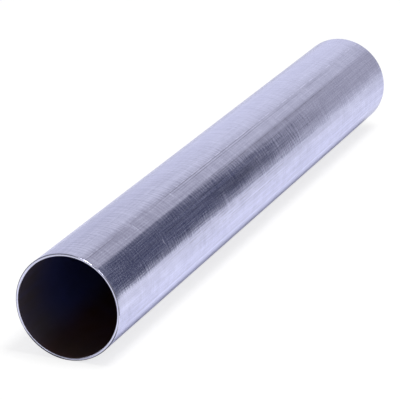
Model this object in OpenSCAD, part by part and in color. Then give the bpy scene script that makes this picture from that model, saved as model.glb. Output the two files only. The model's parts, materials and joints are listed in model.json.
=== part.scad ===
// Plain-ended steel conduit pipe: thin strip, rolled to a tube and seam welded, the seam
// dressed outside and trimmed inside, then sawn square and deburred at both ends.
// It lies level along X, with its middle over the origin and its lowest line at z = 0.

/* [Tube] */
// Outside diameter
outside_d = 50; // [25:1:80]
// Wall thickness
wall = 1.2; // [0.9:0.1:2]
// Length from one end face to the other
tube_length = 370; // [60:10:3000]

/* [Cut ends] */
// Radius on the outer edge of each cut
edge_radius = 0.35; // [0.1:0.05:0.4]
// Ream on the inner edge of each cut, measured across the wall
ream_depth = 0.4; // [0.1:0.05:0.45]
// Slope of the ream from the tube's axis
ream_angle = 40; // [20:5:60]

/* [Weld seam] */
// Place of the seam round the tube: 0 is the front, level with the axis, and 90 is the top
seam_angle = 62; // [30:1:65]
// Width of the strip that the scarfing tool dresses along the outside
scarf_width = 6.4; // [3:0.2:8]
// Radius of the scarfing tool's hollow-ground edge
scarf_radius = 42; // [41:1:120]
// Width of the weld bead inside
bead_width = 2; // [1:0.2:2.6]
// Height of the trimmed bead over the bore
bead_height = 0.2; // [0.15:0.05:0.3]

/* [Hidden] */
outer_r = outside_d / 2;
bore_r = outer_r - wall;
half_length = tube_length / 2;
steel = [0.78, 0.79, 0.89];
// How far a cutting tool runs past the face that it cuts
past = 1;
$fn = 180;

// Distance from the centre of a circle to a chord of it
function chord_height(radius, chord) = sqrt(radius * radius - chord * chord / 4);

// Radius of the arc that rises over a chord
function arc_radius(chord, rise) = (chord * chord / 4 + rise * rise) / (2 * rise);

// Section of the wall, from the middle of the tube to one sawn end, its outer edge rounded
module half_wall() {
    translate([bore_r, 0])
        square([wall - edge_radius, half_length]);
    translate([bore_r, 0])
        square([wall, half_length - edge_radius]);
    translate([outer_r - edge_radius, half_length - edge_radius])
        circle(r = edge_radius);
}

// The sawn tube before its seam is dressed, turned about Z and centred on the origin
module rolled_tube() {
    rotate_extrude() {
        half_wall();
        mirror([0, 1]) half_wall();
    }
}

// The weld inside: a low crown along the whole length, rooted halfway into the wall
module weld_bead() {
    chord_at = chord_height(bore_r, bead_width);
    crown_top = bore_r - bead_height;
    crown_r = arc_radius(bead_width, chord_at - crown_top);
    linear_extrude(height = tube_length, center = true)
        intersection() {
            circle(r = bore_r + wall / 2);
            translate([crown_top + crown_r, 0]) circle(r = crown_r);
        }
}

// The metal that the scarfing tool takes off the outside, down to its own flatter arc
module scarf_cut() {
    chord_at = chord_height(outer_r, scarf_width);
    tool_centre = chord_at - chord_height(scarf_radius, scarf_width);
    linear_extrude(height = tube_length + 2 * past, center = true)
        difference() {
            translate([0, -outer_r]) square([outer_r + past, outside_d]);
            translate([tool_centre, 0]) circle(r = scarf_radius);
        }
}

// The cone that reams one end of the bore, and the end of the bead with it
module ream_cut() {
    slope = tan(ream_angle);
    mouth_r = bore_r + ream_depth;
    tip_r = bore_r - bead_height - past;
    depth = (mouth_r - tip_r) / slope;
    translate([0, 0, half_length - depth])
        cylinder(r1 = tip_r, r2 = mouth_r + past * slope, h = depth + past);
}

module conduit_pipe() {
    color(steel)
        translate([0, 0, outer_r])
        rotate([-90 - seam_angle, 0, 0])
        rotate([0, 90, 0])
        difference() {
            union() {
                rolled_tube();
                weld_bead();
            }
            scarf_cut();
            ream_cut();
            mirror([0, 0, 1]) ream_cut();
        }
}

conduit_pipe();
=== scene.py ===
# Steel conduit pipe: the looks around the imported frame.
# Metres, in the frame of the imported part: the pipe lies along X, its front is -Y, the floor is z = 0.
# Angles round the pipe start at its front, level with the axis, and 90 is its top.
import json
import math

import bpy
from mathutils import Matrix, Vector, noise


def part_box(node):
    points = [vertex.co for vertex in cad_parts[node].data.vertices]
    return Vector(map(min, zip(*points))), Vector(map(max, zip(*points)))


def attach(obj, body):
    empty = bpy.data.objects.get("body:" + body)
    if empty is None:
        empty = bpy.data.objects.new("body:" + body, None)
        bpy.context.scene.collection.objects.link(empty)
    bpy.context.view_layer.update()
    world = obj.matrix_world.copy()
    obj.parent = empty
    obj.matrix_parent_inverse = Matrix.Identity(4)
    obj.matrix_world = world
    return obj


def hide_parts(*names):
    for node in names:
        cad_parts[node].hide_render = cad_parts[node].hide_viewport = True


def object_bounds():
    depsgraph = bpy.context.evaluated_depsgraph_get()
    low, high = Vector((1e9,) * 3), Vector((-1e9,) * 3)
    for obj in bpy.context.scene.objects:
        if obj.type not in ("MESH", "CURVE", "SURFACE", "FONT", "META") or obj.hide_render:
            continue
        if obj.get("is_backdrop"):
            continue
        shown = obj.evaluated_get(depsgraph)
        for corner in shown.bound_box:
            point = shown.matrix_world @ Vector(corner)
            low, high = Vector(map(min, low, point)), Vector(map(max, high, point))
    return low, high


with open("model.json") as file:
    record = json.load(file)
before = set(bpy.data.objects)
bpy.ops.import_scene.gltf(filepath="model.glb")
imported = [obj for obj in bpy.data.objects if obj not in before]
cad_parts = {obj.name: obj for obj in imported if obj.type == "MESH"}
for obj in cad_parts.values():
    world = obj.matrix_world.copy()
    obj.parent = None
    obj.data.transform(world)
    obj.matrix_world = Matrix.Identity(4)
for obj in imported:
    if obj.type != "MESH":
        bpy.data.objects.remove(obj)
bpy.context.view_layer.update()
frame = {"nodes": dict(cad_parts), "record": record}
print("frame loaded:", ", ".join(frame["nodes"]))


# Small helpers
def mountSize(name, key):
    # A size of one of the part's mounts, which the record has in millimetres
    mount = next(m for m in frame["record"]["mounts"] if m["name"] == name)
    return mount["dims"][key] / 1000


def smoothStep(low, high, value):
    t = min(max((value - low) / (high - low), 0.0), 1.0)
    return t * t * (3 - 2 * t)


def addObject(name, verts, faces):
    mesh = bpy.data.meshes.new(name)
    mesh.from_pydata(verts, [], faces)
    ob = bpy.data.objects.new(name, mesh)
    bpy.context.scene.collection.objects.link(ob)
    return ob


# Camera. Turn is from +X towards +Y, pitch is downwards, and roll is to the left, in degrees.
camera = {
    "place": (-1.133, -0.443, 0.444),
    "turn": 21.867,
    "pitch": 19.444,
    "roll": 0.16,
    "lens": 231.2,           # in millimetres, and so is the sensor
    "sensor": 36.0,
    "seesTo": 60.0,
}


def setCamera(c):
    data = bpy.data.cameras.new("camera")
    data.lens = c["lens"]
    data.sensor_width = c["sensor"]
    data.clip_end = c["seesTo"]
    ob = bpy.data.objects.new("camera", data)
    ob.location = c["place"]
    ob.rotation_euler = (math.radians(90 - c["pitch"]), 0, math.radians(c["turn"] - 90))
    ob.rotation_euler.rotate_axis("Z", math.radians(c["roll"]))
    bpy.context.scene.collection.objects.link(ob)
    bpy.context.scene.camera = ob
    bpy.context.scene.view_settings.view_transform = "Standard"


setCamera(camera)
print("camera set")


# The pipe's own sizes, as its frame has them
low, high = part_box("conduit_pipe")
pipe = {
    "outerR": min(high.y, -low.y),
    "boreR": mountSize("bore", "r_mm"),
    "axisZ": mountSize("spigot_a", "r_mm"),
    "half": (high.x - low.x) / 2,
    "edge": 0.00035,         # radius on the outer edge of each cut
    "ream": 0.0004,          # ream, measured across the wall
    "reamSlope": 40.0,       # from the axis
    "seam": 62.0,            # where the weld is
    "scarfWidth": 0.0064,    # dressed strip outside
    "scarfR": 0.042,
    "scarfEase": 0.00002,    # rounding of the strip's two edges
    "beadWidth": 0.002,      # trimmed bead inside
    "beadHeight": 0.0002,
    "seamReach": 0.2,        # how far off the weld its shapes can reach, in radians
    "rings": 121,            # stations along the outside
    "lipRings": 7,           # round the edge's radius
    # Where the rings on the end face are, as shares of it from the bore, and down the ream, from the face
    "faceRings": (0.75, 0.5, 0.25, 0.0),
    "reamRings": (0.17, 0.33, 0.5, 0.6667, 0.83, 1.0),
    "boreRings": 13,
    "boreStart": 0.0006,     # from the ream to the first of them
    # Steps between columns round the pipe: up to this angle off the weld, this many degrees
    "columns": ((9.5, 0.125), (14.0, 0.5), (360.0, 1.0)),
    "sharp": 28.0,           # corners of more degrees than this are kept sharp
    "wave": 0.000012,        # how far the wall strays inwards from round, on the whole
    "waveAlong": 22,         # and how quickly, along it and round it
    "waveRound": 1.9,
    "waveEnd": 0.01,         # it fades out over this length at each end
}
pipe["stripHalf"] = math.degrees(math.asin(pipe["scarfWidth"] / 2 / pipe["outerR"]))   # round the pipe

# Fine lines that the rolls and the scarfing tool leave along the wall, and a few wider smudges.
# Each has its angle, half its width, its depth, how dark its soot is (or how bright it is rubbed, below 0),
# the part of the length that it shows on, and how broken it is.
lineValues = ("at", "width", "depth", "soot", "from", "to", "broken")
toolLines = [dict(zip(lineValues, row)) for row in (
    (68.9, 0.00022, 0.000014, 0.60, -0.183, -0.165, 0.5),
    (70.3, 0.00020, 0.000012, 0.30, -0.15, -0.10, 0.8),
    (69.2, 0.00026, 0.000026, 0.90, -0.09, 0.01, 0.3),
    (66.3, 0.00022, 0.000020, 0.80, -0.08, 0.02, 0.5),
    (68.0, 0.00170, 0.0, 0.09, 0.04, 0.12, 0.3),
    (66.0, 0.00024, 0.000020, 0.50, 0.05, 0.12, 0.7),
    (54.4, 0.00022, 0.0, 0.40, -0.055, -0.035, 0.4),
    (51.8, 0.00026, 0.000022, 0.60, -0.04, 0.12, 0.65),
    (50.5, 0.00200, 0.0, 0.16, 0.0, 0.11, 0.3),
    (47.0, 0.00040, 0.0, -0.35, -0.11, 0.04, 0.8),
    (44.0, 0.00040, 0.0, 0.30, -0.10, 0.03, 0.8),
    (41.0, 0.00040, 0.0, -0.40, -0.09, 0.05, 0.8),
    (38.0, 0.00040, 0.0, 0.25, -0.12, 0.0, 0.8),
    (33.0, 0.00420, 0.0, 0.40, -0.05, -0.008, 0.3),
    (18.6, 0.00030, 0.000006, 0.40, -0.05, 0.02, 0.8),
    (15.2, 0.00030, 0.000006, 0.50, -0.10, 0.02, 0.8),
    (11.8, 0.00030, 0.000006, 0.55, -0.11, 0.03, 0.8),
    (8.4, 0.00030, 0.000006, 0.50, -0.07, 0.04, 0.8),
    (5.0, 0.00030, 0.000006, 0.35, -0.10, 0.01, 0.8),
    (-15.4, 0.00070, 0.000006, 0.12, -0.185, 0.16, 0.6),
    (-19.4, 0.00100, 0.000008, -0.45, -0.15, 0.17, 0.5),
)]

lineWear = {
    "fadeOut": 0.03,         # a line fades from this far outside its part of the length
    "fadeIn": 0.01,          # to this far inside it
    "breaks": 160,           # how often a broken line breaks, in a metre
    "gone": 0.2,             # share of the noise at which it is broken, and at which it is whole
    "whole": 0.7,
}

# A small burr that the saw left on the bore's edge at the near end
burr = {
    "at": 212.0,
    "span": 5.0,             # to each side, in degrees
    "height": 0.00042,
    "teeth": 3,
    "toothShare": 0.4,       # how much of the height comes and goes with the teeth
    "fullTo": 0.0002,        # how far in from the cut it is full, and where it is gone
    "goneAt": 0.0009,
}


def chordHeight(radius, chord):
    return math.sqrt(radius * radius - chord * chord / 4)


def scarfRadius(p, off):
    # From the axis to the dressed strip, at an angle off the seam
    centre = chordHeight(p["outerR"], p["scarfWidth"]) - chordHeight(p["scarfR"], p["scarfWidth"])
    return centre * math.cos(off) + math.sqrt(p["scarfR"] ** 2 - (centre * math.sin(off)) ** 2)


def beadRadius(p, off):
    # From the axis to the bead's crown, or to the bore where there is no bead
    chordAt = chordHeight(p["boreR"], p["beadWidth"])
    top = p["boreR"] - p["beadHeight"]
    rise = chordAt - top
    crown = (p["beadWidth"] ** 2 / 4 + rise * rise) / (2 * rise)
    centre = top + crown
    inside = crown ** 2 - (centre * math.sin(off)) ** 2
    if abs(off) > p["seamReach"] or inside <= 0:
        return p["boreR"]
    return min(p["boreR"], centre * math.cos(off) - math.sqrt(inside))


def easedMin(a, b, ease):
    # The smaller of the two, with the corner between them rounded off inwards
    over = max(ease - abs(a - b), 0.0) / ease
    return min(a, b) - over * over * ease / 4


def turnedOff(a, b):
    # The shorter way from angle b to angle a, in degrees
    return (a - b + 180) % 360 - 180


def columnAngles(p):
    # Once round the pipe, closer together over the weld and the tool lines beside it
    angles = []
    a = p["seam"] - 180
    while a < p["seam"] + 180:
        angles.append(a)
        a += next(step for reach, step in p["columns"] if abs(a - p["seam"]) < reach)
    return angles


def lineShape(p, line, a, x):
    # How much of a line there is at a place, from 0 to 1
    off = abs(turnedOff(a, line["at"])) * math.pi / 180 * p["outerR"] / line["width"]
    if off >= 1:
        return 0.0
    ends = smoothStep(line["from"] - lineWear["fadeOut"], line["from"] + lineWear["fadeIn"], x)
    ends *= 1 - smoothStep(line["to"] - lineWear["fadeIn"], line["to"] + lineWear["fadeOut"], x)
    share = 0.5 + noise.noise(Vector((x * lineWear["breaks"], line["at"], 0)))
    left = smoothStep(lineWear["gone"], lineWear["whole"], share)
    return ends * (1 - line["broken"] * (1 - left)) * (0.5 + 0.5 * math.cos(math.pi * off))


def linesAt(p, key, a, x):
    # What all the lines together come to at a place: their depth, or their soot
    return sum(line[key] * lineShape(p, line, a, x) for line in toolLines)


def waveAt(p, x, t):
    # Noise is cut off at a half, which is the round wall, so that it never strays outwards
    at = Vector((x * p["waveAlong"], p["waveRound"] * math.cos(t), p["waveRound"] * math.sin(t)))
    return p["wave"] * (min(noise.noise(at), 0.5) * 2 - 1)


def wallStations(p):
    # Once round the wall: the outside towards +X, that cut end, the bore back, the other cut end.
    # Each station is what cuts it, its place along X, and the radius that the cutter leaves. In the bore
    # that is left to wallRadius.
    half, edge, n = p["half"], p["edge"], p["rings"]
    slope = math.tan(math.radians(p["reamSlope"]))
    mouth = p["boreR"] + p["ream"]
    flat = p["outerR"] - edge - mouth
    reach = half - edge
    outside = [("wall", reach * (2 * i / (n - 1) - 1), p["outerR"]) for i in range(n)]
    end = []
    for i in range(1, p["lipRings"] + 1):
        t = math.radians(90 * i / p["lipRings"])
        end.append(("lip", reach + edge * math.sin(t), p["outerR"] - edge + edge * math.cos(t)))
    end += [("face", half, mouth + flat * t) for t in p["faceRings"]]
    reamEnd = (p["ream"] + p["beadHeight"]) / slope
    end += [("ream", half - reamEnd * t, mouth - reamEnd * slope * t) for t in p["reamRings"]]
    boreReach = half - reamEnd - p["boreStart"]
    last = p["boreRings"] - 1
    bore = [("bore", boreReach * (1 - 2 * i / last), 0.0) for i in range(last + 1)]
    otherEnd = [(cutter, -x, r) for cutter, x, r in reversed(end)]
    return outside + end + bore + otherEnd


def burrHeight(p, s, a, x):
    # How far the burr stands into the bore at a place
    away = turnedOff(a, s["at"]) / s["span"]
    if x > 0 or abs(away) >= 1:
        return 0.0
    teeth = 1 - s["toothShare"] + s["toothShare"] * math.cos(away * s["teeth"] * math.pi)
    atCut = smoothStep(-p["half"] + s["goneAt"], -p["half"] + s["fullTo"], x)
    return s["height"] * (1 - away * away) * teeth * atCut


def wallRadius(p, cutter, x, r, a):
    # From the axis to the finished surface, where the cutter alone would leave r
    off = math.radians(turnedOff(a, p["seam"]))
    if cutter == "bore":
        return beadRadius(p, off)
    if cutter == "ream":
        return max(r, beadRadius(p, off)) - burrHeight(p, burr, a, x)
    if abs(off) < p["seamReach"]:
        r = easedMin(r, scarfRadius(p, off), p["scarfEase"])
    if cutter == "wall":
        inside = smoothStep(p["half"], p["half"] - p["waveEnd"], abs(x))
        r += waveAt(p, x, math.radians(a)) * inside - linesAt(p, "depth", a, x)
    return r


def makePipe(p):
    angles = columnAngles(p)
    stations = wallStations(p)
    verts, soot = [], []
    for cutter, x, r in stations:
        for a in angles:
            t = math.radians(a)
            rr = wallRadius(p, cutter, x, r, a)
            verts.append((x, -rr * math.cos(t), p["axisZ"] + rr * math.sin(t)))
            soot.append(linesAt(p, "soot", a, x) if cutter == "wall" else 0.0)
    n, m = len(angles), len(stations)
    faces, slots = [], []
    for j in range(m):
        k = (j + 1) % m
        cutters = {stations[j][0], stations[k][0]}
        slot = 0 if cutters == {"wall"} else 2 if "bore" in cutters else 1    # satin, bore or sawn steel
        for i in range(n):
            h = (i + 1) % n
            faces.append((j * n + i, k * n + i, k * n + h, j * n + h))
            slots.append(slot)
    ob = addObject("steelPipe", verts, faces)
    ob.data.polygons.foreach_set("material_index", slots)
    ob.data.polygons.foreach_set("use_smooth", [True] * len(faces))
    ob.data.set_sharp_from_angle(angle=math.radians(p["sharp"]))
    ob.data.attributes.new("soot", "FLOAT", "POINT").data.foreach_set("value", soot)
    return ob


steelPipe = makePipe(pipe)
print("pipe made:", len(steelPipe.data.polygons), "faces")


# Node helpers
def addNode(tree, kind, inputs=None, **settings):
    node = tree.nodes.new(kind)
    for key, value in settings.items():
        setattr(node, key, value)
    for key, value in (inputs or {}).items():
        if isinstance(value, bpy.types.NodeSocket):
            tree.links.new(value, node.inputs[key])
        else:
            node.inputs[key].default_value = value
    return node


def maths(tree, operation, a, b=0.0, c=0.0):
    return addNode(tree, "ShaderNodeMath", {0: a, 1: b, 2: c}, operation=operation).outputs[0]


def ramp(tree, value, fromLow, fromHigh, toLow=0.0, toHigh=1.0, shape="SMOOTHSTEP"):
    inputs = {"Value": value, "From Min": fromLow, "From Max": fromHigh, "To Min": toLow, "To Max": toHigh}
    return addNode(tree, "ShaderNodeMapRange", inputs, interpolation_type=shape).outputs["Result"]


def mixColours(tree, factor, a, b):
    # Inputs 6 and 7 are the node's two colours, and output 2 is what they come to
    return addNode(tree, "ShaderNodeMix", {0: factor, 6: a, 7: b}, data_type="RGBA").outputs[2]


def startGroup(name, inputs, outputs):
    tree = bpy.data.node_groups.new(name, "ShaderNodeTree")
    for key, value in inputs.items():
        socket = tree.interface.new_socket(name=key, in_out="INPUT", socket_type="NodeSocketFloat")
        socket.default_value = value
    for key, kind in outputs.items():
        tree.interface.new_socket(name=key, in_out="OUTPUT", socket_type="NodeSocket" + kind)
    return tree, tree.nodes.new("NodeGroupInput").outputs, tree.nodes.new("NodeGroupOutput").inputs


def placeGroup(tree, group, **values):
    node = tree.nodes.new("ShaderNodeGroup")
    node.node_tree = group
    for key, value in values.items():
        if isinstance(value, bpy.types.NodeSocket):
            tree.links.new(value, node.inputs[key])
        else:
            node.inputs[key].default_value = value
    return node.outputs


def makePlace(p):
    # Where a point is: its angle round the pipe in degrees, how far it is from the axis, and how far along
    tree, _, out = startGroup("pipePlace", {}, {"Angle": "Float", "Radius": "Float", "Along": "Float"})
    place = addNode(tree, "ShaderNodeTexCoord").outputs["Object"]
    xyz = addNode(tree, "ShaderNodeSeparateXYZ", {0: place}).outputs
    up = maths(tree, "SUBTRACT", xyz["Z"], p["axisZ"])
    front = maths(tree, "MULTIPLY", xyz["Y"], -1.0)
    angle = maths(tree, "MULTIPLY", maths(tree, "ARCTAN2", up, front), 180 / math.pi)
    across = addNode(tree, "ShaderNodeCombineXYZ", {"X": up, "Y": front}).outputs[0]
    radius = addNode(tree, "ShaderNodeVectorMath", {0: across}, operation="LENGTH").outputs["Value"]
    tree.links.new(angle, out["Angle"])
    tree.links.new(radius, out["Radius"])
    tree.links.new(xyz["X"], out["Along"])
    return tree


def makeStreaks():
    # Noise stretched along the pipe or round it. Along and Round are cycles in a metre.
    inputs = {"Along": 300.0, "Round": 300.0, "Seed": 0.0, "Low": 0.3, "High": 0.7}
    tree, given, out = startGroup("streaks", inputs, {"Value": "Float"})
    place = addNode(tree, "ShaderNodeTexCoord").outputs["Object"]
    stretch = {"X": given["Along"], "Y": given["Round"], "Z": given["Round"]}
    stretch = addNode(tree, "ShaderNodeCombineXYZ", stretch).outputs[0]
    at = addNode(tree, "ShaderNodeVectorMath", {0: place, 1: stretch}, operation="MULTIPLY").outputs[0]
    noiseInputs = {"Vector": at, "W": given["Seed"], "Scale": 1.0, "Detail": 1.0}
    mark = addNode(tree, "ShaderNodeTexNoise", noiseInputs, noise_dimensions="4D")
    value = ramp(tree, mark.outputs["Fac"], given["Low"], given["High"], shape="LINEAR")
    tree.links.new(value, out["Value"])
    return tree


def makeComb(place, marks):
    # Marks at an even pitch that wander and fade in and out. Along is rings in a metre, and Lines is how many
    # lengthwise lines go round the pipe. Wander is in pitches. Drift and Patch are cycles in a metre.
    inputs = {"Along": 430.0, "Lines": 0.0, "Wander": 1.7, "DriftAlong": 150.0, "DriftRound": 40.0,
              "PatchAlong": 90.0, "PatchRound": 300.0, "Seed": 0.0, "Bare": 0.3, "Full": 0.6}
    tree, given, out = startGroup("comb", inputs, {"Value": "Float"})
    driftRange = {"Low": 0.25, "High": 0.75}     # wide, so that the drift is hardly ever cut off
    patchSeed = maths(tree, "ADD", given["Seed"], 50.0)     # well away from the seeds in use
    here = placeGroup(tree, place)
    drift = placeGroup(tree, marks, Along=given["DriftAlong"], Round=given["DriftRound"], Seed=given["Seed"],
                       **driftRange)["Value"]
    turns = maths(tree, "MULTIPLY", here["Along"], given["Along"])
    turns = maths(tree, "MULTIPLY_ADD", drift, given["Wander"], turns)
    lines = maths(tree, "MULTIPLY", given["Lines"], 1 / 360)
    turns = maths(tree, "MULTIPLY_ADD", here["Angle"], lines, turns)
    wave = maths(tree, "SINE", maths(tree, "MULTIPLY", turns, 2 * math.pi))
    patch = placeGroup(tree, marks, Along=given["PatchAlong"], Round=given["PatchRound"], Seed=patchSeed,
                       Low=given["Bare"], High=given["Full"])["Value"]
    tree.links.new(maths(tree, "MULTIPLY_ADD", maths(tree, "MULTIPLY", wave, 0.5), patch, 0.5), out["Value"])
    return tree


def makeLean():
    # Leans the surface round the pipe and along it, by two masks and the widest lean of each in radians
    inputs = {"Turned": 0.5, "Turn": 0.05, "Tipped": 0.5, "Tip": 0.02}
    tree, given, out = startGroup("lean", inputs, {"Normal": "Vector"})
    total = addNode(tree, "ShaderNodeNewGeometry").outputs["Normal"]
    along = (1.0, 0.0, 0.0)
    sideways = addNode(tree, "ShaderNodeVectorMath", {0: along, 1: total}, operation="CROSS_PRODUCT")
    ways = ((sideways.outputs[0], "Turned", "Turn"), (along, "Tipped", "Tip"))
    for way, mask, most in ways:
        amount = maths(tree, "MULTIPLY", maths(tree, "SUBTRACT", given[mask], 0.5), given[most])
        leant = addNode(tree, "ShaderNodeVectorMath", {0: way, "Scale": amount}, operation="SCALE").outputs[0]
        total = addNode(tree, "ShaderNodeVectorMath", {0: total, 1: leant}, operation="ADD").outputs[0]
    unit = addNode(tree, "ShaderNodeVectorMath", {0: total}, operation="NORMALIZE")
    tree.links.new(unit.outputs[0], out["Normal"])
    return tree


def makeNick(place):
    # A short scratch across the pipe: At is its place along it, and Bow bends it
    inputs = {"At": 0.0, "Wide": 0.001, "From": 50.0, "To": 60.0, "Bow": 0.0}
    tree, given, out = startGroup("nick", inputs, {"Value": "Float"})
    here = placeGroup(tree, place)
    middle = maths(tree, "MULTIPLY", maths(tree, "ADD", given["From"], given["To"]), 0.5)
    off = maths(tree, "SUBTRACT", here["Angle"], middle)
    bent = maths(tree, "MULTIPLY_ADD", maths(tree, "MULTIPLY", off, off), given["Bow"], given["At"])
    away = maths(tree, "ABSOLUTE", maths(tree, "SUBTRACT", here["Along"], bent))
    reach = maths(tree, "MULTIPLY", maths(tree, "SUBTRACT", given["To"], given["From"]), 0.5)
    wide = ramp(tree, away, 0.0, given["Wide"], 1.0, 0.0)
    long = ramp(tree, maths(tree, "ABSOLUTE", off), maths(tree, "MULTIPLY", reach, 0.5), reach, 1.0, 0.0)
    tree.links.new(maths(tree, "MULTIPLY", wide, long), out["Value"])
    return tree


pipePlace = makePlace(pipe)
streaks = makeStreaks()
comb = makeComb(pipePlace, streaks)
lean = makeLean()
nick = makeNick(pipePlace)


def startMaterial(name):
    mat = bpy.data.materials.new(name)
    mat.use_nodes = True
    return mat, mat.node_tree, mat.node_tree.nodes["Principled BSDF"]


def turnGrain(tree, steel, s):
    # The polish goes round the pipe, so that highlights spread along it
    steel.inputs["Anisotropic"].default_value = s["anisotropy"]
    steel.inputs["Anisotropic Rotation"].default_value = 0.25    # a quarter turn
    grain = addNode(tree, "ShaderNodeTangent", direction_type="RADIAL", axis="X")
    tree.links.new(grain.outputs[0], steel.inputs["Tangent"])


satin = {
    "clean": (0.785, 0.793, 1.0, 1),
    "dull": (0.475, 0.480, 0.642, 1),
    "soot": (0.16, 0.16, 0.21, 1),
    "grazing": (0.83, 0.845, 1.0, 1),
    "roughness": 0.14,
    "stripRough": 0.03,      # more on the dressed strip
    "stripSoft": 0.3,        # degrees over which that begins, to each side of the strip's edges
    "scratchRough": 0.08,    # more in the scratches
    "metallic": 0.98,
    "scratchMatt": 0.11,     # less metallic in the scratches
    "anisotropy": 0.2,
    "turn": 0.044,           # widest lean of the surface round the pipe, in radians
    "tip": 0.040,            # and along it
    "turning": {"rings": 0.56, "weft": 0.23, "threads": 0.21},
    "tipping": {"hairs": 0.80, "threads": 0.20},
    # How scratched and how clean the steel is on the whole, and how much each mark adds or takes away
    "scratched": 0.50,
    "cleaned": 0.48,
    "scratches": {"hairs": 0.26, "rings": 0.14, "weft": 0.34, "threads": 0.23, "specks": 0.06},
    "cleanness": {"hairs": 0.09, "rings": 0.08, "weft": 0.09, "turns": 0.14, "threads": 0.10, "lines": 0.12,
                  "specks": 0.10, "clouds": 0.06, "smears": 0.08},
    "chatter": 0.10,         # what the turns do to that on the dressed strip
    "paintedGlint": 0.60,         # and the painted glints, bright dashes in the colour along the strip's upper edge
    "sparkleOff": 0.9,       # how far off that edge they are, and how far off that they are full and gone
    "sparkleFull": 0.3,
    "sparkleGone": 0.9,
    "nickWorn": 2.0,         # how scratched the short scratches are
    # What is added to that in some zones. Full and gone are angles off the middle of the front.
    "frontAt": -18.0,
    "zones": [
        {"full": 26.0, "gone": 48.0, "marks": {"rubs": 0.30, "smears": 0.12}},
        {"full": 86.0, "gone": 92.0, "marks": {"weft": 0.13, "threads": 0.05, "hairs": 0.03, "lines": 0.05}},
        {"full": 92.0, "gone": 86.0, "marks": {"rings": 0.15, "hairs": 0.09, "lines": 0.03}},
    ],
}

# Marks in the satin finish, in cycles in a metre along the pipe and round it.
# Low and High are where a streak begins to show and where it is full, and so are Bare and Full for a comb.
satinCombs = {
    "rings": {"Along": 430.0, "Seed": 3.0, "Bare": 0.30, "Full": 0.62},
    "hairs": {"Along": 360.0, "DriftAlong": 126.0, "PatchRound": 380.0, "Seed": 5.0,
              "Bare": 0.30, "Full": 0.62},
    "weft": {"Along": 0.0, "Lines": 128.0, "DriftAlong": 16.0, "DriftRound": 50.0, "PatchAlong": 60.0,
             "PatchRound": 260.0, "Seed": 15.0, "Bare": 0.30, "Full": 0.62},
}
satinStreaks = {
    "threads": {"Along": 42.0, "Round": 1050.0, "Seed": 7.0, "Low": 0.42, "High": 0.60},
    "specks": {"Along": 600.0, "Round": 600.0, "Seed": 8.0, "Low": 0.40, "High": 0.66},
    "turns": {"Along": 240.0, "Round": 60.0, "Seed": 10.0},
    "lines": {"Along": 9.0, "Round": 800.0, "Seed": 9.0},
    "rubs": {"Along": 14.0, "Round": 600.0, "Seed": 12.0},
    "clouds": {"Along": 42.0, "Round": 70.0, "Seed": 11.0},
    "smears": {"Along": 150.0, "Round": 210.0, "Seed": 13.0},
    # bright dashes for the painted glints along the strip's edge
    "glintDashes": {"Along": 190.0, "Round": 30.0, "Seed": 14.0, "Low": 0.47, "High": 0.60},
}

# Small bright scratches across the wall
nicks = [
    {"At": -0.1354, "Wide": 0.0005, "From": 57.0, "To": 69.0, "Bow": 0.000004},
    {"At": -0.0900, "Wide": 0.0010, "From": 62.0, "To": 71.0, "Bow": -0.000030},
    {"At": -0.1258, "Wide": 0.0005, "From": 27.5, "To": 37.0, "Bow": 0.000060},
]


def addMarks(tree, marks, shares, middle=0.5):
    # A mask that keeps to its middle, and strays from it by each mark's share
    total = middle - sum(shares.values()) / 2
    for name, share in shares.items():
        total = maths(tree, "MULTIPLY_ADD", marks[name], share, total)
    return total


def strayed(tree, mark, most):
    # How far a mark takes a mask off its middle, to either side
    return maths(tree, "MULTIPLY", maths(tree, "SUBTRACT", mark, 0.5), most)


def satinCleanness(tree, marks, angle, strip, p, s):
    # How clean the steel is: the same marks everywhere, and more of them in some zones
    clean = addMarks(tree, marks, s["cleanness"], s["cleaned"])
    offFront = maths(tree, "ABSOLUTE", maths(tree, "SUBTRACT", angle, s["frontAt"]))
    for zone in s["zones"]:
        here = ramp(tree, offFront, zone["full"], zone["gone"], 1.0, 0.0)
        clean = maths(tree, "MULTIPLY_ADD", addMarks(tree, marks, zone["marks"], 0.0), here, clean)
    # The scarfing tool's chatter across the dressed strip, and painted glints along its upper edge
    clean = maths(tree, "MULTIPLY_ADD", strayed(tree, marks["turns"], s["chatter"]), strip, clean)
    paintedGlintAt = p["seam"] + p["stripHalf"] + s["sparkleOff"]
    offEdge = maths(tree, "ABSOLUTE", maths(tree, "SUBTRACT", angle, paintedGlintAt))
    edge = ramp(tree, offEdge, s["sparkleFull"], s["sparkleGone"], 1.0, 0.0)
    return maths(tree, "MULTIPLY_ADD", marks["glintDashes"], maths(tree, "MULTIPLY", edge, s["paintedGlint"]), clean)


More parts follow.
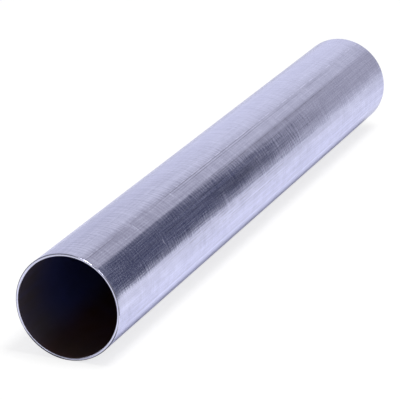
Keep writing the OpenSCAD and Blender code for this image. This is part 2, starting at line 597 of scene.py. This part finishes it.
def satinSteel(p, s):
    # The outside, polished round the pipe, with the dressed strip over the weld
    mat, tree, steel = startMaterial("satinSteel")
    angle = placeGroup(tree, pipePlace)["Angle"]
    marks = {name: placeGroup(tree, streaks, **values)["Value"] for name, values in satinStreaks.items()}
    for name, values in satinCombs.items():
        marks[name] = placeGroup(tree, comb, **values)["Value"]
    nicked = 0.0
    for values in nicks:
        nicked = maths(tree, "ADD", placeGroup(tree, nick, **values)["Value"], nicked)
    strip = maths(tree, "ABSOLUTE", maths(tree, "SUBTRACT", angle, p["seam"]))
    strip = ramp(tree, strip, p["stripHalf"] - s["stripSoft"], p["stripHalf"] + s["stripSoft"], 1.0, 0.0)
    # Colour: soot below 0 is a line that is rubbed bright
    clean = satinCleanness(tree, marks, angle, strip, p, s)
    soot = addNode(tree, "ShaderNodeAttribute", attribute_name="soot").outputs["Fac"]
    clean = maths(tree, "SUBTRACT", clean, maths(tree, "MINIMUM", soot, 0.0))
    metal = mixColours(tree, maths(tree, "MAXIMUM", clean, nicked), s["dull"], s["clean"])
    tree.links.new(mixColours(tree, soot, metal, s["soot"]), steel.inputs["Base Color"])
    steel.inputs["Specular Tint"].default_value = s["grazing"]
    # Scratches are rougher and less of a mirror, and the strip is a little rougher too
    scratched = addMarks(tree, marks, s["scratches"], s["scratched"])
    worn = maths(tree, "MAXIMUM", scratched, maths(tree, "MULTIPLY", nicked, s["nickWorn"]))
    rough = maths(tree, "MULTIPLY_ADD", worn, s["scratchRough"], s["roughness"])
    tree.links.new(maths(tree, "MULTIPLY_ADD", strip, s["stripRough"], rough), steel.inputs["Roughness"])
    metallic = maths(tree, "MULTIPLY_ADD", worn, -s["scratchMatt"], s["metallic"])
    tree.links.new(metallic, steel.inputs["Metallic"])
    turned, tipped = addMarks(tree, marks, s["turning"]), addMarks(tree, marks, s["tipping"])
    leant = placeGroup(tree, lean, Turned=turned, Turn=s["turn"], Tipped=tipped, Tip=s["tip"])
    tree.links.new(leant["Normal"], steel.inputs["Normal"])
    turnGrain(tree, steel, s)
    return mat


sawn = {
    "bright": (0.78, 0.79, 1.0, 1),
    "dull": (0.62, 0.63, 0.82, 1),
    "lip": (0.13, 0.13, 0.17, 1),        # painted shade on the rounded outer corner, for the dark that it reflects
    # darker still low down, where the corner reflects the shade under the pipe
    "lipShadeBelow": (0.030, 0.030, 0.045, 1),
    "lipWide": 0.00036,      # how far in from the outside it reaches, and how far where it is widest
    "lipWideBelow": 0.00074,
    # Where it is darkest and widest, and the cosines off there at which each begins and is full
    "lipAt": -118.0,
    "darkCosines": (-0.8, 0.6),
    "wideCosines": (0.84, 0.98),
    # Where the deburring wheel has polished the corner's outer part, and the painted shade is left off so
    # that the lamp's glint shows: angle, and how far off full and gone
    "polished": [(60.0, 12.0, 26.0), (-2.0, 8.0, 24.0)],
    "polishWide": 0.0002,    # how far in from the outside, and how softly that ends
    "polishSoft": 0.00004,
    "roughness": 0.38,
    "teethRough": 0.06,      # more where the saw's teeth left marks
    "lipRoughness": 0.14,
    "brightness": {"teeth": 0.4, "patches": 0.6},    # what each mark adds to how bright the steel is
    "reamFlat": 0.75,        # how far the reamed edge shines the way that the end face does
    "ringSoft": 0.00005,     # how softly that and the painted shade on the reamed edge end, across the wall
    "scale": (0.062, 0.048, 0.058, 1),   # painted shade on the inner half of the reamed edge, on one side, for the bore's shadow
    "ringShadeAt": -135.0,
    "ringShadeCosines": (0.25, 0.6),
    "anisotropy": 0.8,
}

sawnStreaks = {
    "teeth": {"Along": 200.0, "Round": 420.0, "Seed": 21.0},
    "patches": {"Along": 40.0, "Round": 55.0, "Seed": 23.0},
    "chips": {"Along": 40.0, "Round": 330.0, "Seed": 25.0, "Low": 0.30, "High": 0.42},
}


def cosineOff(tree, angle, at):
    # 1 at an angle, and -1 opposite to it
    return maths(tree, "COSINE", maths(tree, "MULTIPLY", maths(tree, "SUBTRACT", angle, at), math.pi / 180))


def polishedLip(tree, place, chips, p, s):
    # Bare, bright stretches of the corner's outer part, where the painted shade is left off so that the
    # lamp's glint shows, with chips in them
    polish = 0.0
    for at, full, gone in s["polished"]:
        away = maths(tree, "ABSOLUTE", maths(tree, "SUBTRACT", place["Angle"], at))
        polish = maths(tree, "MAXIMUM", ramp(tree, away, full, gone, 1.0, 0.0), polish)
    edge = p["outerR"] - s["polishWide"]
    outerPart = ramp(tree, place["Radius"], edge - s["polishSoft"], edge + s["polishSoft"])
    return maths(tree, "MULTIPLY", maths(tree, "MULTIPLY", polish, chips), outerPart)


def wornReam(tree, place, p, s):
    # The reamed edge is worn towards the end face. Inputs 4 and 5 are the mixing node's two vectors.
    mouth = p["boreR"] + p["ream"]
    worn = ramp(tree, place["Radius"], mouth - s["ringSoft"], mouth + s["ringSoft"], s["reamFlat"], 0.0)
    outward = addNode(tree, "ShaderNodeCombineXYZ", {"X": maths(tree, "SIGN", place["Along"])}).outputs[0]
    normal = addNode(tree, "ShaderNodeNewGeometry").outputs["Normal"]
    normal = addNode(tree, "ShaderNodeMix", {0: worn, 4: normal, 5: outward}, data_type="VECTOR").outputs[1]
    return addNode(tree, "ShaderNodeVectorMath", {0: normal}, operation="NORMALIZE").outputs[0]


def sawnSteel(p, s):
    # Bare metal where the saw and the deburring wheel have been
    mat, tree, steel = startMaterial("sawnSteel")
    marks = {name: placeGroup(tree, streaks, **values)["Value"] for name, values in sawnStreaks.items()}
    place = placeGroup(tree, pipePlace)
    bright = maths(tree, "MULTIPLY", marks["patches"], s["brightness"]["patches"])
    bright = maths(tree, "MULTIPLY_ADD", marks["teeth"], s["brightness"]["teeth"], bright)
    bare = mixColours(tree, bright, s["dull"], s["bright"])
    # Painted shade on the rounded corner, for the dark that it reflects, except where it is polished
    towardsIt = cosineOff(tree, place["Angle"], s["lipAt"])
    below = ramp(tree, towardsIt, *s["darkCosines"])
    narrow, wide = p["outerR"] - s["lipWide"], p["outerR"] - s["lipWideBelow"]
    inward = maths(tree, "SUBTRACT", place["Radius"], ramp(tree, towardsIt, *s["wideCosines"], narrow, wide))
    onLip = ramp(tree, inward, -s["lipWide"] / 4, s["lipWide"] / 4)
    polish = polishedLip(tree, place, marks["chips"], p, s)
    paintedLipShade = maths(tree, "MULTIPLY", onLip, maths(tree, "SUBTRACT", 1.0, polish))
    soot = mixColours(tree, below, s["lip"], s["lipShadeBelow"])
    # Painted shade on the inner half of the reamed edge, for the bore's shadow
    innerHalf = p["boreR"] + p["ream"] / 2
    ringShade = ramp(tree, place["Radius"], innerHalf - s["ringSoft"], innerHalf + s["ringSoft"], 1.0, 0.0)
    ringShadeSide = ramp(tree, cosineOff(tree, place["Angle"], s["ringShadeAt"]), *s["ringShadeCosines"])
    ringShade = maths(tree, "MULTIPLY", ringShade, ringShadeSide)
    bare = mixColours(tree, ringShade, bare, s["scale"])
    tree.links.new(mixColours(tree, paintedLipShade, bare, soot), steel.inputs["Base Color"])
    rough = ramp(tree, onLip, 0.0, 1.0, s["roughness"], s["lipRoughness"], "LINEAR")
    rough = maths(tree, "MULTIPLY_ADD", marks["teeth"], s["teethRough"], rough)
    tree.links.new(rough, steel.inputs["Roughness"])
    # Where shade is painted, on the corner and on the reamed edge, the steel is matt and not metal
    metallic = maths(tree, "SUBTRACT", 1.0, maths(tree, "MAXIMUM", paintedLipShade, ringShade))
    tree.links.new(metallic, steel.inputs["Metallic"])
    steel.inputs["Specular IOR Level"].default_value = 0.0
    tree.links.new(wornReam(tree, place, p, s), steel.inputs["Normal"])
    turnGrain(tree, steel, s)
    return mat


scale = {
    "deep": (0.056, 0.066, 0.24, 1),
    "mouth": (0.062, 0.048, 0.058, 1),
    "brown": (0.030, 0.011, 0.008, 1),       # along the bottom, at the mouth and further in
    "brownDeep": (0.078, 0.028, 0.011, 1),
    "brownAt": -84.0,        # angle round the bore
    "brownFull": 28.0,
    "brownGone": 60.0,
    "blueFrom": 0.010,       # how far in the blue begins, and where it is full
    "blueTo": 0.045,
    "blueLines": 0.2,        # how blue the lines are at the mouth already
    "spotted": 0.2,          # how much thinner the brown is off its spots
    "roughness": 0.45,
    "spotRough": 0.2,        # more on the spots
    "shine": 0.25,
}

boreStreaks = {
    "lines": {"Along": 8.0, "Round": 260.0, "Seed": 31.0},
    "spots": {"Along": 60.0, "Round": 60.0, "Seed": 33.0},
}


def boreScale(p, s):
    # A dark bore: grey at its mouths, blue further in, brown along the bottom
    mat, tree, steel = startMaterial("boreScale")
    place = placeGroup(tree, pipePlace)
    lines = placeGroup(tree, streaks, **boreStreaks["lines"])["Value"]
    spots = placeGroup(tree, streaks, **boreStreaks["spots"])["Value"]
    inside = maths(tree, "SUBTRACT", p["half"], maths(tree, "ABSOLUTE", place["Along"]))
    blue = ramp(tree, inside, s["blueFrom"], s["blueTo"], maths(tree, "MULTIPLY", lines, s["blueLines"]), 1.0)
    below = maths(tree, "ABSOLUTE", maths(tree, "SUBTRACT", place["Angle"], s["brownAt"]))
    thick = maths(tree, "MULTIPLY_ADD", spots, s["spotted"], 1 - s["spotted"])
    brown = ramp(tree, below, s["brownFull"], s["brownGone"], thick, 0.0)
    dark = mixColours(tree, blue, s["mouth"], s["deep"])
    rust = mixColours(tree, blue, s["brown"], s["brownDeep"])
    tree.links.new(mixColours(tree, brown, dark, rust), steel.inputs["Base Color"])
    rough = maths(tree, "MULTIPLY_ADD", spots, s["spotRough"], s["roughness"])
    tree.links.new(rough, steel.inputs["Roughness"])
    steel.inputs["Specular IOR Level"].default_value = s["shine"]
    return mat


for mat in (satinSteel(pipe, satin), sawnSteel(pipe, sawn), boreScale(pipe, scale)):
    steelPipe.data.materials.append(mat)

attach(steelPipe, "root")
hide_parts("conduit_pipe")
print("pipe finished")


# Studio: white floor and room, a white tent that only the metal sees, and two lamps
floorLook = {
    "size": 12.0,
    "colour": (0.9, 0.9, 0.9, 1),
    "white": 1.12,           # strength of the plain white that is mixed in
    "seenShare": 0.66,       # how much of it the camera sees, and then the metal
    "mirrorShare": 0.55,
    # The white that the metal sees is a painted pool of light: left off under the pipe, full in front of it
    # and ahead of its near end, and weaker further out
    "underFrom": 0.018,      # the metal sees less of it under the pipe, this far to each side
    "underTo": 0.0265,
    "outFrom": 0.035,        # and further out
    "outTo": 0.11,
    "outShare": 0.10,
    "aheadShare": 0.90,      # how much of it the metal sees ahead of the pipe's near end
    "aheadTo": 0.008,        # how far ahead that is full
}


def makeFloor(s, p):
    half = s["size"] / 2
    corners = [(-half, -half, 0), (half, -half, 0), (half, half, 0), (-half, half, 0)]
    ob = addObject("floor", corners, [(0, 1, 2, 3)])
    mat, tree, old = startMaterial("floor")
    tree.nodes.remove(old)
    path = addNode(tree, "ShaderNodeLightPath").outputs
    seen = maths(tree, "MAXIMUM", path["Is Camera Ray"], path["Is Transmission Ray"])
    seen = maths(tree, "MULTIPLY", seen, s["seenShare"])
    place = addNode(tree, "ShaderNodeSeparateXYZ", {0: addNode(tree, "ShaderNodeTexCoord").outputs["Object"]})
    side = maths(tree, "ABSOLUTE", place.outputs["Y"])
    # A painted pool of white glow for the metal to see, left off under the pipe
    paintedGlow = ramp(tree, side, s["underFrom"], s["underTo"], 0.0, s["mirrorShare"])
    ahead = ramp(tree, place.outputs["X"], -p["half"] - s["aheadTo"], -p["half"], s["aheadShare"], 0.0)
    paintedGlow = maths(tree, "MAXIMUM", paintedGlow, ahead)
    furtherOut = ramp(tree, side, s["outFrom"], s["outTo"], 1.0, s["outShare"])
    paintedGlow = maths(tree, "MULTIPLY", paintedGlow, furtherOut)
    share = maths(tree, "MULTIPLY_ADD", path["Is Glossy Ray"], paintedGlow, seen)
    matt = addNode(tree, "ShaderNodeBsdfDiffuse", {"Color": s["colour"]})
    glow = addNode(tree, "ShaderNodeEmission", {"Strength": s["white"]})
    both = addNode(tree, "ShaderNodeMixShader", {0: share, 1: matt.outputs[0], 2: glow.outputs[0]})
    tree.links.new(both.outputs[0], tree.nodes["Material Output"].inputs["Surface"])
    ob.data.materials.append(mat)
    ob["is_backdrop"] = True


# Angles are round the pipe's axis, and places are along X
tent = {
    "radius": 0.30,
    "footRadius": 0.18,      # the cloth trails inwards along the front of the floor, between these angles
    "trailFrom": -9,
    "trailTo": -3,
    "fromX": 0.10,
    "toX": 1.80,
    "fromAngle": -8.0,
    "toAngle": 184.0,
    "steps": 96,
    # How bright the cloth is up the front, over the top and down the back: angle, near end, far end
    "greys": [(-8, 0.72, 0.76), (16, 0.41, 0.50), (60, 0.41, 0.50), (74, 0.41, 0.68), (96.5, 0.42, 0.70),
              (107, 0.74, 0.87), (140, 0.72, 0.90), (160, 0.76, 0.93)],
    "nearX": 0.30,
    "farX": 0.54,
    "tint": (0.015, 0.0, 0.045),     # how much redder and bluer the cloth gets as it darkens
}

# A dark cloth hangs inside the front of the tent, and its top edge comes down towards its far end
darkCloth = {
    "colour": (0.037, 0.045, 0.096, 1),
    "endX": 0.580,
    "endSoft": 0.040,
    "topFromX": 0.375,
    "topToX": 0.595,
    "top": 67.0,
    "farTop": 46.0,
    "topClear": -3.0,        # how far under its top edge it begins to show, and where it is full
    "topFull": 7.0,
    "footAngle": -20.0,
    "footFullAngle": 9.0,
    "footFarAngle": 17.0,    # where it is full further in
    "footFromX": 0.33,
    "footToX": 0.44,
}


def makeTentCloth(s, p):
    verts, faces = [], []
    for i in range(s["steps"] + 1):
        a = s["fromAngle"] + (s["toAngle"] - s["fromAngle"]) * i / s["steps"]
        r = s["footRadius"] + (s["radius"] - s["footRadius"]) * smoothStep(s["trailFrom"], s["trailTo"], a)
        t = math.radians(a)
        for x in (s["fromX"], s["toX"]):
            verts.append((x, -r * math.cos(t), p["axisZ"] + r * math.sin(t)))
    for i in range(s["steps"]):
        faces.append((2 * i, 2 * i + 1, 2 * i + 3, 2 * i + 2))
    return addObject("tent", verts, faces)


def greyRamp(tree, s, angle, column):
    # The cloth's grey round the tent, from one column of its table
    turn = ramp(tree, angle, s["fromAngle"], s["toAngle"], shape="LINEAR")
    stops = addNode(tree, "ShaderNodeValToRGB", {0: turn})
    while len(stops.color_ramp.elements) < len(s["greys"]):
        stops.color_ramp.elements.new(0.5)
    for stop, row in zip(stops.color_ramp.elements, s["greys"]):
        stop.position = (row[0] - s["fromAngle"]) / (s["toAngle"] - s["fromAngle"])
        stop.color = [row[column] + tint * (1 - row[column]) for tint in s["tint"]] + [1]
    return stops.outputs["Color"]


def makeTent(s, cloth, p):
    ob = makeTentCloth(s, p)
    for rays in ("camera", "diffuse", "shadow", "transmission", "volume_scatter"):
        setattr(ob, "visible_" + rays, False)
    mat, tree, old = startMaterial("tent")
    tree.nodes.remove(old)
    place = placeGroup(tree, pipePlace)
    angle, x = place["Angle"], place["Along"]
    farEnd = ramp(tree, x, s["nearX"], s["farX"])
    grey = mixColours(tree, farEnd, greyRamp(tree, s, angle, 1), greyRamp(tree, s, angle, 2))
    top = ramp(tree, x, cloth["topFromX"], cloth["topToX"], cloth["top"], cloth["farTop"])
    hung = ramp(tree, maths(tree, "SUBTRACT", top, angle), cloth["topClear"], cloth["topFull"])
    foot = ramp(tree, x, cloth["footFromX"], cloth["footToX"], cloth["footFullAngle"], cloth["footFarAngle"])
    hung = maths(tree, "MULTIPLY", hung, ramp(tree, angle, cloth["footAngle"], foot))
    ends = ramp(tree, x, cloth["endX"] - cloth["endSoft"], cloth["endX"] + cloth["endSoft"], 1.0, 0.0)
    colour = mixColours(tree, maths(tree, "MULTIPLY", hung, ends), grey, cloth["colour"])
    glow = addNode(tree, "ShaderNodeEmission", {"Color": colour})
    tree.links.new(glow.outputs[0], tree.nodes["Material Output"].inputs["Surface"])
    ob.data.materials.append(mat)
    ob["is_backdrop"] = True


# One lamp overhead, and one towards the near end that only the metal sees, for the glint on its edge
lamps = {
    "overheadLamp": {"place": (-0.10, -0.38, 1.45), "size": 0.45, "watts": 12.5, "onMatt": True},
    "edgeLamp": {"place": (-0.86, -0.44, 1.30), "size": 1.05, "watts": 17.0, "onMatt": False},
}


def makeLamp(name, s):
    data = bpy.data.lights.new(name, "AREA")
    data.size = s["size"]
    data.energy = s["watts"]
    ob = bpy.data.objects.new(name, data)
    ob.location = s["place"]
    ob.rotation_euler = Vector(s["place"]).to_track_quat("Z", "Y").to_euler()
    ob.visible_diffuse = s["onMatt"]
    bpy.context.scene.collection.objects.link(ob)


room = {
    "light": 0.50,           # on matt surfaces, beside the lamp
    "white": 1.0,            # as the camera and the metal see it
    "dimSide": 0.14,         # how bright the room is on the -X side, as the metal sees it
    "dimTo": 0.1,            # which way along X that side ends, and the white begins
    "whiteFrom": 0.7,
}


def makeRoom(s):
    world = bpy.data.worlds.new("room")
    world.use_nodes = True
    tree = world.node_tree
    path = addNode(tree, "ShaderNodeLightPath").outputs
    seen = maths(tree, "MAXIMUM", path["Is Camera Ray"], path["Is Transmission Ray"])
    way = addNode(tree, "ShaderNodeTexCoord").outputs["Generated"]
    way = addNode(tree, "ShaderNodeSeparateXYZ", {0: way})
    bothSides = ramp(tree, way.outputs["X"], s["dimTo"], s["whiteFrom"], s["dimSide"], s["white"])
    mirror = maths(tree, "MULTIPLY", path["Is Glossy Ray"], bothSides)
    matt = maths(tree, "MULTIPLY", path["Is Diffuse Ray"], s["light"])
    strength = maths(tree, "MAXIMUM", maths(tree, "MAXIMUM", seen, mirror), matt)
    tree.links.new(strength, tree.nodes["Background"].inputs["Strength"])
    tree.nodes["Background"].inputs["Color"].default_value = (1, 1, 1, 1)
    bpy.context.scene.world = world


makeFloor(floorLook, pipe)
makeTent(tent, darkCloth, pipe)
for name, values in lamps.items():
    makeLamp(name, values)
makeRoom(room)
print("studio made")

low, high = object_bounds()
